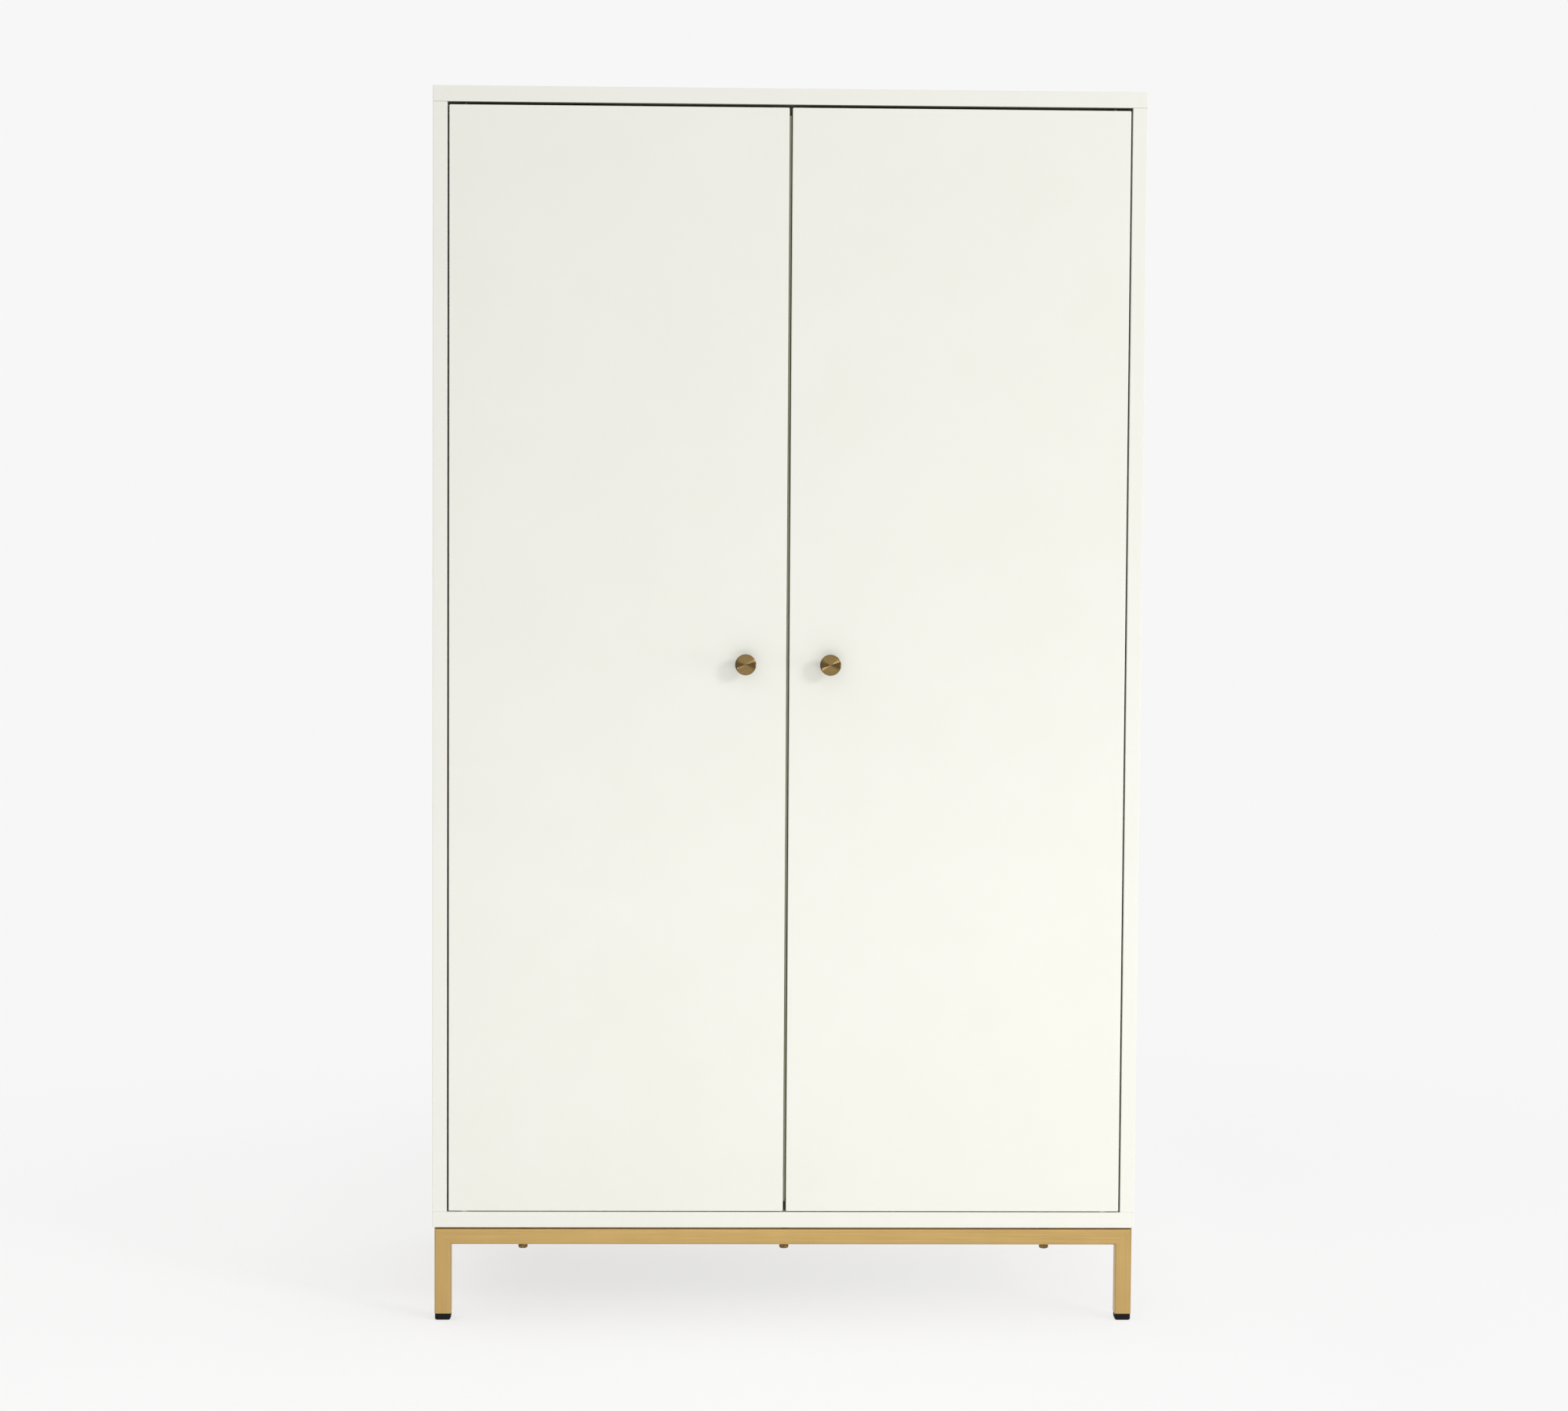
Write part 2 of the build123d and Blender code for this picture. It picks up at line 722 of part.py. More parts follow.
def rod_socket(hand):
    wall = Plane.YZ.offset(hand * opening_half)
    with BuildPart() as socket:
        with BuildSketch(wall):
            with Locations((rod_y, rod_height)):
                Circle(socket_flange / 2)
        extrude(amount=-hand * socket_flange_thick)
        with BuildSketch(wall):
            with Locations((rod_y, rod_height)):
                Circle(socket_ring / 2)
        extrude(amount=-hand * socket_ring_length)
        with BuildSketch(Plane.YZ.offset(hand * (opening_half - socket_flange_thick))):
            with Locations((rod_y, rod_height)):
                Circle(rod_size / 2 + rod_play)
        extrude(amount=-hand * socket_ring_length, mode=Mode.SUBTRACT)
        with Locations(*[Location(place, socket_turn(hand)) for place in socket_screw_places(hand)]):
            add(screw_hole(socket_screw), mode=Mode.SUBTRACT)
    keep(socket.part, f"rod_socket_{hand_word(hand)}")
    spots = socket_screw_places(hand)
    keep(screw_group(socket_screw, spots, socket_turn(hand)), f"rod_socket_screws_{hand_word(hand)}")


for hand in (-1, 1):
    rod_socket(hand)


# Base: front and back frames of mitred tube, joined by two side rails.
def tube_section():
    """Square tube with rounded corners, drawn in the sketch that is open."""
    RectangleRounded(tube, tube, tube_corner)
    RectangleRounded(tube - 2 * tube_wall, tube - 2 * tube_wall, tube_corner - tube_wall, mode=Mode.SUBTRACT)


def mitre(hand, y):
    """The slanting plane where a rail meets a leg; the rail lies above it and the leg below."""
    slant = Vector(hand, 0, 1).normalized()
    outer_corner = Vector(hand * (leg_x + tube / 2), y, rail_top)
    inside = Vector(-hand, 0, 1).normalized()
    return Plane(origin=outer_corner, x_dir=slant, z_dir=inside)


def base_rail(name, y):
    with BuildPart() as rail:
        with BuildSketch(Plane.YZ.offset(-(leg_x + tube / 2))):
            with Locations((y, rail_top - tube / 2)):
                tube_section()
        extrude(amount=2 * (leg_x + tube / 2))
        for hand in (-1, 1):
            split(bisect_by=mitre(hand, y), keep=Keep.TOP)
        for level in (rail_low, rail_top):
            with BuildSketch(Plane.XY.offset(level)):
                with Locations(*[(x, y) for x in bolt_columns]):
                    Circle(bolt_hole / 2)
            inward = 1 if level == rail_low else -1
            extrude(amount=inward * 2 * tube_wall, mode=Mode.SUBTRACT)
    keep(rail.part, name)


def base_leg(name, hand, y):
    with BuildPart() as leg:
        with BuildSketch(Plane.XY.offset(foot_height)):
            with Locations((hand * leg_x, y)):
                tube_section()
        extrude(amount=rail_top - foot_height)
        split(bisect_by=mitre(hand, y), keep=Keep.BOTTOM)
    keep(leg.part, name)


# Black feet: a block with rounded lower edges and a plug that stands up inside the leg.
def foot(name, hand, y):
    with BuildPart() as block:
        with BuildSketch(Plane.XY):
            with Locations((hand * leg_x, y)):
                RectangleRounded(foot_size, foot_size, foot_corner)
        extrude(amount=foot_height)
        fillet(block.faces().sort_by(Axis.Z)[0].edges(), foot_round)
        with BuildSketch(Plane.XY.offset(foot_height)):
            with Locations((hand * leg_x, y)):
                RectangleRounded(plug_size, plug_size, plug_corner)
        extrude(amount=plug_height)
        chamfer(block.faces().sort_by(Axis.Z)[-1].edges(), plug_chamfer)
    keep(block.part, name)


for place, y in (("front", leg_front), ("back", leg_back)):
    base_rail(f"base_rail_{place}", y)
    for hand in (-1, 1):
        base_leg(f"base_leg_{place}_{hand_word(hand)}", hand, y)
        foot(f"foot_{place}_{hand_word(hand)}", hand, y)


def base_side_rail(hand):
    """A side rail is cut square and butts against the front and back frames."""
    reach = leg_reach - tube / 2
    with BuildPart() as rail:
        with BuildSketch(Plane.XZ.offset(-(middle_y + reach))):
            with Locations((hand * leg_x, rail_top - tube / 2)):
                tube_section()
        extrude(amount=2 * reach)
    keep(rail.part, f"base_rail_{hand_word(hand)}")


for hand in (-1, 1):
    base_side_rail(hand)

# Bolts up through the rails, with threaded inserts in the bottom board.
with BuildPart() as one_bolt:
    with BuildSketch(Plane.XY.offset(rail_low)):
        Circle(bolt_size / 2)
    extrude(amount=tube + spacer_thick + bolt_in_board)
    with BuildSketch(Plane.XY.offset(rail_low)):
        Circle(bolt_collar / 2)
    extrude(amount=-bolt_collar_height)
    with BuildSketch(Plane.XY.offset(rail_low - bolt_collar_height)):
        Circle(bolt_head / 2)
    extrude(amount=-bolt_head_height)
    fillet(one_bolt.faces().sort_by(Axis.Z)[0].edges(), bolt_head_round)
    with BuildSketch(Plane.XY.offset(rail_low - bolt_collar_height - bolt_head_height)):
        RegularPolygon(bolt_key / 2, 6, major_radius=False)
    extrude(amount=bolt_key_depth, mode=Mode.SUBTRACT)
bolt_spots = [(x, y, 0) for x in bolt_columns for y in (leg_front, leg_back)]
with BuildPart() as base_bolts:
    with Locations(*bolt_spots):
        add(one_bolt.part)
keep(base_bolts.part, "base_bolts")
with BuildPart() as base_inserts:
    with BuildSketch(Plane.XY.offset(base_height)):
        with Locations(*[(x, y) for x, y, z in bolt_spots]):
            Circle(insert_size / 2)
            Circle(bolt_size / 2 + pivot_running_play, mode=Mode.SUBTRACT)
    extrude(amount=insert_length)
keep(base_inserts.part, "base_inserts")

# Spacers at the bolts keep a shadow line between the base and the case.
with BuildPart() as base_spacers:
    with BuildSketch(Plane.XY.offset(rail_top)):
        with Locations(*[(x, y) for x, y, z in bolt_spots]):
            Circle(spacer_size / 2)
            Circle(bolt_hole / 2, mode=Mode.SUBTRACT)
    extrude(amount=spacer_thick)
keep(base_spacers.part, "base_spacers")
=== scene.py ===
# %% [markdown]
# # A white armoire on a brass base
# A two-door armoire stands in a plain studio. Its case and flush doors are sprayed with satin lacquer,
# its base is made of brushed square tube, and two turned knobs are the only ornament. The solids come
# from the construction model. This lesson gives them their finishes, makes the turned and the repeated
# pieces finely enough for a close look, and sets up the camera and the studio for the picture.

import json
import math

import bmesh
import bpy
from mathutils import Euler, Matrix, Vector


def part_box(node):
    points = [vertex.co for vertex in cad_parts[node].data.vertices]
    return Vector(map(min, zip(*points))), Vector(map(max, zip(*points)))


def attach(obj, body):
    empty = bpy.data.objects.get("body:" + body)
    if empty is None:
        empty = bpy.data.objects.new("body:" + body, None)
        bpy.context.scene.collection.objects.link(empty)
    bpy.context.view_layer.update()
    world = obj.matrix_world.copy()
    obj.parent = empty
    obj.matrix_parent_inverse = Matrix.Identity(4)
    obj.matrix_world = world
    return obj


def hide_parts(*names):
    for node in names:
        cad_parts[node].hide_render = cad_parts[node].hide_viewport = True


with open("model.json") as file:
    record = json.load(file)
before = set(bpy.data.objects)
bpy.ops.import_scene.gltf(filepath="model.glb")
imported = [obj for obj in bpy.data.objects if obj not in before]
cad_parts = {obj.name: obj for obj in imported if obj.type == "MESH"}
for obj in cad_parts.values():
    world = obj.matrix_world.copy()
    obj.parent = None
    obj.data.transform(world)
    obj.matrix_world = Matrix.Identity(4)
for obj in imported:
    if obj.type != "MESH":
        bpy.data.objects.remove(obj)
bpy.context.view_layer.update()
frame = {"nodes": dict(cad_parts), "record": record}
nodes = frame["nodes"]
scene = bpy.context.scene

# %% [markdown]
# ## Node arithmetic
# A finish is a small calculation: where a point lies, how far along the brush stroke, how rough the
# lacquer is there. Writing that as plain arithmetic reads better than wiring boxes. One class turns `+ -
# * /` on values into Math nodes, and one method of a graph adds every other kind of node, in shaders and
# in geometry alike.


# %% Values
class Value:
    """One value in a node tree; arithmetic on it adds Math nodes."""

    def __init__(self, tree, socket):
        self.tree, self.socket = tree, socket

    def math(self, operation, *others, turned=False):
        node = self.tree.nodes.new("ShaderNodeMath")
        node.operation = operation
        items = (*others, self) if turned else (self, *others)
        for place, item in enumerate(items):
            feed(self.tree, node.inputs[place], item)
        return Value(self.tree, node.outputs[0])

    def __add__(self, other):
        return self.math("ADD", other)

    def __sub__(self, other):
        return self.math("SUBTRACT", other)

    def __rsub__(self, other):
        return self.math("SUBTRACT", other, turned=True)

    def __mul__(self, other):
        return self.math("MULTIPLY", other)

    def __truediv__(self, other):
        return self.math("DIVIDE", other)

    def __rtruediv__(self, other):
        return self.math("DIVIDE", other, turned=True)

    __radd__ = __add__
    __rmul__ = __mul__


def feed(tree, socket, item):
    """Link a value, or a list of values, to a socket, or set the socket to a constant."""
    if isinstance(item, list):
        for each in item:
            tree.links.new(each.socket, socket)
    elif isinstance(item, Value):
        tree.links.new(item.socket, socket)
    else:
        socket.default_value = item


print("values ready")


# %% Graphs and finishes
class Graph:
    """A node tree being written; node() adds one node and returns one of its outputs."""

    def __init__(self, tree):
        self.tree = tree
        tree.nodes.clear()

    def node(self, kind, settings=None, inputs=None, output=0):
        made = self.tree.nodes.new(kind)
        for key, item in (settings or {}).items():
            setattr(made, key, item)
        for key, item in (inputs or {}).items():
            feed(self.tree, made.inputs[key], item)
        return Value(self.tree, made.outputs[output]) if len(made.outputs) else None

    def parts(self, vector):
        """The three parts of a vector."""
        made = self.tree.nodes.new("ShaderNodeSeparateXYZ")
        feed(self.tree, made.inputs[0], vector)
        return [Value(self.tree, part) for part in made.outputs]

    def vector(self, x, y, z):
        return self.node("ShaderNodeCombineXYZ", None, {"X": x, "Y": y, "Z": z})

    def vector_math(self, operation, *items):
        return self.node("ShaderNodeVectorMath", {"operation": operation}, dict(enumerate(items)))

    def ramp(self, value, low, high, start=0.0, end=1.0):
        """Spread a value between start and end over low to high."""
        inputs = {"Value": value, "From Min": low, "From Max": high, "To Min": start, "To Max": end}
        return self.node("ShaderNodeMapRange", None, inputs)


class Finish(Graph):
    """A material being written."""

    def __init__(self, name):
        self.material = bpy.data.materials.new(name)
        self.material.use_nodes = True
        super().__init__(self.material.node_tree)
        self.point = self.node("ShaderNodeTexCoord", output="Object")
        self.facing = self.node("ShaderNodeTexCoord", output="Normal")

    def noise(self, vector, scale, detail=2.0, roughness=0.5):
        inputs = {"Vector": vector, "Scale": scale, "Detail": detail, "Roughness": roughness}
        return self.node("ShaderNodeTexNoise", None, inputs)

    def blend(self, factor, first, second):
        made = self.tree.nodes.new("ShaderNodeMix")
        made.data_type = "RGBA"
        for place, item in ((0, factor), (6, first), (7, second)):
            feed(self.tree, made.inputs[place], item)
        return Value(self.tree, made.outputs[2])

    def bent_normal(self, offset):
        """The surface normal pushed over by an offset in object space."""
        bent = self.vector_math("ADD", self.facing, offset)
        settings = {"vector_type": "NORMAL", "convert_from": "OBJECT", "convert_to": "WORLD"}
        turned = self.node("ShaderNodeVectorTransform", settings, {"Vector": bent})
        return self.vector_math("NORMALIZE", turned)

    def surface(self, **inputs):
        """Close the material with one Principled surface; underscores stand for spaces."""
        named = {key.replace("_", " "): item for key, item in inputs.items()}
        shader = self.node("ShaderNodeBsdfPrincipled", None, named)
        self.node("ShaderNodeOutputMaterial", None, {"Surface": shader})
        return self.material


print("graphs ready")

# %% [markdown]
# ## Lacquer
# The case is board sprayed with several coats of warm white and rubbed to a satin. Sprayed lacquer is
# never optically flat: it keeps a faint orange-peel ripple a few millimetres across, the sheen drifts a
# little over a hand's breadth, and the white is not perfectly even. Three noises of those sizes make the
# bump, the roughness and the colour. The inside gets one coat less, so it is a little flatter and greyer.
# Under the top board, the band that the doors shut against is lacquered a dark olive as painted shade, so
# the gap above the doors reads dark; the surface normal and the depth tell that band apart.


# %% Lacquer finishes
def lacquer(name, light, dark, rough, peel, shade_tone=None, shade_band_to=0.0):
    """Sprayed lacquer; faces that look down may take a painted shade tone up to a given depth from the
    front.
    """
    finish = Finish(name)
    ripple = finish.noise(finish.point, 260.0, 2.0) + finish.noise(finish.point, 900.0, 1.0) * 0.3
    drift = finish.noise(finish.point, 7.0, 3.0)
    tint = finish.blend(finish.ramp(drift, 0.3, 0.7), light, dark)
    # Painted shade: downward faces near the front take a dark olive, so the gap above the doors looks
    # shaded.
    if shade_tone:
        down = finish.ramp(finish.parts(finish.facing)[2], -0.5, -0.9)
        front = finish.parts(finish.point)[1].math("LESS_THAN", shade_band_to)
        tint = finish.blend(down * front, tint, shade_tone)
    sheen = finish.ramp(finish.noise(finish.point, 16.0, 4.0), 0.3, 0.7, rough - 0.03, rough + 0.04)
    bump = finish.node("ShaderNodeBump", None, {"Strength": 0.12, "Distance": peel, "Height": ripple})
    return finish.surface(Base_Color=tint, Roughness=sheen, Normal=bump, IOR=1.48)


white_tones = (0.888, 0.886, 0.818, 1), (0.875, 0.872, 0.8, 1)
# Dark olive painted shade for the gap above the doors: the band under the top board and the high pivot
# plates.
olive_gap_shade = (0.3, 0.3, 0.22, 1)
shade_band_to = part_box("top_panel")[0][1] + 0.034
white = lacquer("lacquer_white", *white_tones, 0.36, 0.00035)
top_white_with_shade = lacquer("lacquer_white_top_painted_shade", *white_tones, 0.36, 0.00035, olive_gap_shade, shade_band_to)
inside_white = lacquer("lacquer_inside", (0.84, 0.835, 0.765, 1), (0.82, 0.815, 0.74, 1), 0.46, 0.0004)
# The strip behind the centre gap is lacquered olive grey: painted shade for the gap between the doors.
strip_painted_shade = lacquer("lacquer_strip_painted_shade", (0.56, 0.56, 0.41, 1), (0.52, 0.52, 0.37, 1), 0.5, 0.0004)
hinge_white = lacquer("powder_coat_white", (0.84, 0.84, 0.78, 1), (0.81, 0.81, 0.75, 1), 0.42, 0.0003)
print("lacquers:", white.name, inside_white.name, hinge_white.name)

# %% [markdown]
# ## Pivot plates
# The doors turn on pins. Each pin is burnished steel, pressed into a plate, so one node has two finishes.
# The low plates are powder coated white like their board; the high plates take the dark olive of painted
# shade, like the band under the top board. The pin is the part that stands between the boards, which a test
# on the height tells apart.


# %% Pivot plate finish
def pivot_plate(name, coat_and_shade, steel, low, high):
    finish = Finish(name)
    height = finish.parts(finish.point)[2]
    pin = height.math("GREATER_THAN", low) * height.math("LESS_THAN", high)
    grain = finish.noise(finish.point, 700.0, 3.0)
    tone = finish.blend(pin, coat_and_shade, steel)
    gloss = finish.ramp(grain, 0.3, 0.7, 0.36, 0.46)
    bump = finish.node("ShaderNodeBump", None, {"Strength": 0.1, "Distance": 0.0002, "Height": grain})
    return finish.surface(Base_Color=tone, Metallic=pin, Roughness=gloss, Normal=bump)


pin_margin = 0.0001
opening_bottom, opening_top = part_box("bottom_panel")[1][2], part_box("top_panel")[0][2]
pin_span = opening_bottom + pin_margin, opening_top - pin_margin
pin_steel = (0.09, 0.085, 0.08, 1)
# The high plates show in the gap above the doors, so their coat is the olive painted shade; the low ones
# are white.
plate_finishes = {
    "high": pivot_plate("pivot_plate_high_painted_shade", olive_gap_shade, pin_steel, *pin_span),
    "low": pivot_plate("pivot_plate_low", (0.83, 0.83, 0.77, 1), pin_steel, *pin_span),
}
print("opening from", round(opening_bottom, 4), "to", round(opening_top, 4))

# %% [markdown]
# ## Back board
# The back is thin hardboard, painted once. Paint lies close on the pressed fibres, so the face keeps
# their fine cloudy felt and, here and there, a longer fibre. One stretched noise gives the fibres and a
# round one the clouds.


# %% Back board finish
def painted_hardboard(name, light, dark):
    finish = Finish(name)
    across = finish.vector_math("MULTIPLY", finish.point, (900.0, 900.0, 160.0))
    fibre = finish.noise(across, 1.0, 4.0, 0.65)
    cloud = finish.noise(finish.point, 28.0, 4.0, 0.6)
    tone = finish.blend(finish.ramp(fibre * 0.45 + cloud * 0.55, 0.34, 0.66), dark, light)
    gloss = finish.ramp(fibre, 0.3, 0.7, 0.52, 0.68)
    bump = finish.node("ShaderNodeBump", None, {"Strength": 0.3, "Distance": 0.0003, "Height": fibre})
    return finish.surface(Base_Color=tone, Roughness=gloss, Normal=bump)


back_paint = painted_hardboard("hardboard_painted", (0.8, 0.79, 0.715, 1), (0.74, 0.725, 0.65, 1))
print("back board:", back_paint.name)

# %% [markdown]
# ## Brushed brass
# The base is brushed along each tube, so every piece has the grain of its own direction and the mitres
# show as a change of grain. The brush leaves long shallow scratches. They tilt the surface across the
# stroke and never along it, which is what draws reflections out sideways. The tilt is computed here as a
# vector from stretched noise, and the same noise moves the roughness and the depth of colour.


# %% Brushed brass in three directions
def brushed(name, along, light, dark, tilt, rough):
    """Brass brushed along one axis: 0 is X, 1 is Y and 2 is Z."""
    finish = Finish(name)
    fine_size = tuple(9.0 if axis == along else 2600.0 for axis in range(3))
    broad_size = tuple(3.0 if axis == along else 420.0 for axis in range(3))
    scratch = finish.noise(finish.vector_math("MULTIPLY", finish.point, fine_size), 1.0, 3.0, 0.6)
    streak = finish.noise(finish.vector_math("MULTIPLY", finish.point, broad_size), 1.0, 2.0, 0.55)
    lean = (scratch - 0.5) * tilt
    across = finish.vector(*[lean if axis != along else 0.0 for axis in range(3)])
    cloud = finish.noise(finish.point, 16.0, 2.0)
    tone = finish.blend(finish.ramp(streak * 0.4 + scratch * 0.3 + cloud * 0.3, 0.36, 0.64), dark, light)
    gloss = finish.ramp(streak, 0.3, 0.7, rough - 0.04, rough + 0.05)
    return finish.surface(Base_Color=tone, Metallic=1.0, Roughness=gloss, Normal=finish.bent_normal(across))


brass_light, brass_dark = (0.575, 0.388, 0.152, 1), (0.505, 0.333, 0.124, 1)
brush_tilt, brush_rough = 0.4, 0.36
brass_by_axis = [
    brushed(f"brass_brushed_{axis}", number, brass_light, brass_dark, brush_tilt, brush_rough)
    for number, axis in enumerate("xyz")
]
print("brushed brass:", [material.name for material in brass_by_axis])

# %% [markdown]
# ## Small metals, plastics and wood
# The screws and strike plates are plated steel, the bolts are brass plated, the feet are black rubber,
# and the catches are moulded plastic with a fine spark texture. They are small, so each has one fine
# mottling that keeps it from looking like flat paint.


# %% Simple finishes
def mottled(name, light, dark, metallic, rough, scale, bump_depth=0.0001, shine=0.5):
    """A plain finish with one fine grain of the given scale in its colour, gloss and height."""
    finish = Finish(name)
    grain = finish.noise(finish.point, scale, 4.0, 0.6)
    tone = finish.blend(finish.ramp(grain, 0.3, 0.7), dark, light)
    gloss = finish.ramp(grain, 0.3, 0.7, rough - 0.05, rough + 0.07)
    bump = finish.node("ShaderNodeBump", None, {"Strength": 0.25, "Distance": bump_depth, "Height": grain})
    return finish.surface(
        Base_Color=tone, Metallic=metallic, Roughness=gloss, Normal=bump, Specular_IOR_Level=shine
    )


socket_brass = mottled("brass_cast", (0.7, 0.5, 0.21, 1), (0.6, 0.41, 0.16, 1), 1.0, 0.3, 300.0)
bolt_brass = mottled("brass_bolt", (0.34, 0.22, 0.085, 1), (0.09, 0.055, 0.02, 1), 1.0, 0.18, 320.0)
zinc = mottled("steel_zinc", (0.6, 0.58, 0.52, 1), (0.48, 0.47, 0.43, 1), 1.0, 0.32, 500.0)
magnet = mottled("steel_magnet", (0.42, 0.42, 0.43, 1), (0.33, 0.33, 0.34, 1), 1.0, 0.4, 500.0)
rubber_tones, rubber_shine = ((0.009, 0.009, 0.009, 1), (0.005, 0.005, 0.005, 1)), 0.16
black = mottled("rubber_black", *rubber_tones, 0.0, 0.55, 700.0, 0.0002, rubber_shine)
brown = mottled("plastic_brown", (0.16, 0.145, 0.105, 1), (0.12, 0.105, 0.075, 1), 0.0, 0.5, 700.0, 0.0002)
nylon = mottled("nylon", (0.7, 0.69, 0.64, 1), (0.64, 0.63, 0.58, 1), 0.0, 0.45, 400.0)
print("small finishes ready")

# %% [markdown]
# Beech has straight grain with short dark flecks. The dowels stand upright, so the grain is stretched
# along Z.


# %% Beech
def beech_wood(name, light, dark, fleck_tone):
    finish = Finish(name)
    grain = finish.noise(finish.vector_math("MULTIPLY", finish.point, (700.0, 700.0, 30.0)), 1.0, 4.0, 0.6)
    fleck = finish.noise(finish.vector_math("MULTIPLY", finish.point, (2200.0, 2200.0, 320.0)), 1.0, 1.0)
    tone = finish.blend(finish.ramp(grain, 0.32, 0.68), dark, light)
    marked = finish.blend(finish.ramp(fleck, 0.6, 0.68), tone, fleck_tone)
    gloss = finish.ramp(grain, 0.3, 0.7, 0.55, 0.7)
    bump = finish.node("ShaderNodeBump", None, {"Strength": 0.3, "Distance": 0.0002, "Height": grain})
    return finish.surface(Base_Color=marked, Roughness=gloss, Normal=bump)


beech = beech_wood("beech", (0.58, 0.39, 0.22, 1), (0.5, 0.32, 0.17, 1), (0.3, 0.17, 0.08, 1))
print("beech:", beech.name)

# %% [markdown]
# ## Dress the solids
# Every solid takes its finish through its material slot. The tube of the base is told apart by direction:
# the front and back rails run left to right, the side rails run front to back, and the legs stand. The
# hanging rail is brushed along its length too.

# %% Assign finishes
by_slot = {
    "lacquer": white,
    "back_board": back_paint,
    "beech": beech,
    "turned_brass": socket_brass,
    "hinge_white": hinge_white,
    "rail_brass": socket_brass,
    "bolt_brass": bolt_brass,
    "black_plastic": black,
    "brown_plastic": brown,
    "nylon": nylon,
    "magnet": magnet,
    "screw_steel": zinc,
}
slot_of = {row["node"]: row["material_slot"] for row in frame["record"]["subparts"]}


def finish_for(name):
    if slot_of[name] != "brushed_brass":
        return by_slot[slot_of[name]]
    if "leg" in name:
        return brass_by_axis[2]
    return brass_by_axis[0] if name.endswith(("front", "back")) else brass_by_axis[1]


for name, solid in nodes.items():
    solid.data.materials.clear()
    solid.data.materials.append(finish_for(name))
nodes["shelf"].data.materials[0] = inside_white
# The top board's lacquer carries the painted olive shade band under its front edge.
nodes["top_panel"].data.materials[0] = top_white_with_shade
nodes["hanging_rod"].data.materials[0] = brass_by_axis[0]
# The centre strip takes its olive painted shade.
nodes["gap_strip"].data.materials[0] = strip_painted_shade
for end, plate_finish in plate_finishes.items():
    for side in ("left", "right"):
        nodes[f"pivot_case_plate_{end}_{side}"].data.materials[0] = plate_finish
print("dressed", len(nodes), "solids")

# %% [markdown]
# ## Turned knobs
# Each knob is turned from bar: a small foot, a waisted neck and a flat disc with a chamfered rim. The
# tool leaves concentric rings on the face. A lathe in mesh code is the natural way to make it: a profile
# is spun about the axis, with every corner softened by a short arc, because a polished corner is what
# catches the light.


# %% Knob profile
def softened(points, radius, steps=3):
    """Replace each inner corner of a profile by a short curve."""
    result = [Vector(points[0])]
    for before, corner, after in zip(points, points[1:], points[2:]):
        corner = Vector(corner)
        start = corner + (Vector(before) - corner).normalized() * radius
        end = corner + (Vector(after) - corner).normalized() * radius
        for step in range(steps + 1):
            share = step / steps
            result.append(start.lerp(corner, share).lerp(corner.lerp(end, share), share))
    return result + [Vector(points[-1])]


def flare(start, start_run, end, end_run, steps):
    """The waist of the neck: a smooth curve from one point and direction to another."""
    result = []
    for step in range(steps + 1):
        t = step / steps
        held = (2 * t**3 - 3 * t**2 + 1, t**3 - 2 * t**2 + t, -2 * t**3 + 3 * t**2, t**3 - t**2)
        weighted = [Vector(run) * weight for run, weight in zip((start, start_run, end, end_run), held)]
        result.append(sum(weighted, Vector((0, 0))))
    return result


knob_neck = flare((0.005, 0.0102), (0, 0.012), (0.0147, 0.0185), (0.012, 0.003), 14)
knob_outline = softened([(0, 0), (0.007, 0), (0.007, 0.0013), (0.005, 0.01)], 0.0003)
knob_edge = [knob_neck[-1], (0.016, 0.0205), (0.016, 0.0247), (0.0147, 0.026), (0.0138, 0.026), (0, 0.026)]
knob_rim = softened(knob_edge, 0.00025)
knob_profile = knob_outline + knob_neck + knob_rim[1:]
print("knob profile points:", len(knob_profile))

# %% [markdown]
# The rings on the face lie round the axis, so they tilt the surface towards and away from it. A vector
# across the ring direction, swinging to and fro with the distance from the axis, does that on the face,
# the rim and the neck alike. A lamp then shows as a bright ray through the middle, and the dark side of
# the studio as dark wedges beside it.


# %% Turned brass
grooves_per_metre = 14000.0


def turned_brass(name, centre, light, dark, tilt):
    finish = Finish(name)
    off_centre = finish.vector_math("SUBTRACT", finish.point, centre)
    arm = finish.vector_math("MULTIPLY", off_centre, (1.0, 0.0, 1.0))
    reach = finish.node("ShaderNodeVectorMath", {"operation": "LENGTH"}, {0: arm}, "Value")
    depth = finish.parts(finish.point)[1]
    round_axis = finish.vector_math("NORMALIZE", finish.vector_math("CROSS_PRODUCT", (0.0, 1.0, 0.0), arm))
    lean = finish.vector_math("CROSS_PRODUCT", round_axis, finish.facing)
    cut = ((reach + depth) * grooves_per_metre).math("PINGPONG", 1.0)
    band = finish.noise(finish.vector(reach * 900.0, depth * 900.0, 0.0), 1.0, 2.0, 0.6)
    slope = (cut - 0.5) * (band + 0.5) * (2.0 * tilt)
    scaled = finish.node("ShaderNodeVectorMath", {"operation": "SCALE"}, {0: lean, "Scale": slope})
    tone = finish.blend(finish.ramp(band, 0.35, 0.65), dark, light)
    gloss = finish.ramp(band, 0.3, 0.7, 0.12, 0.17)
    return finish.surface(Base_Color=tone, Metallic=1.0, Roughness=gloss, Normal=finish.bent_normal(scaled))


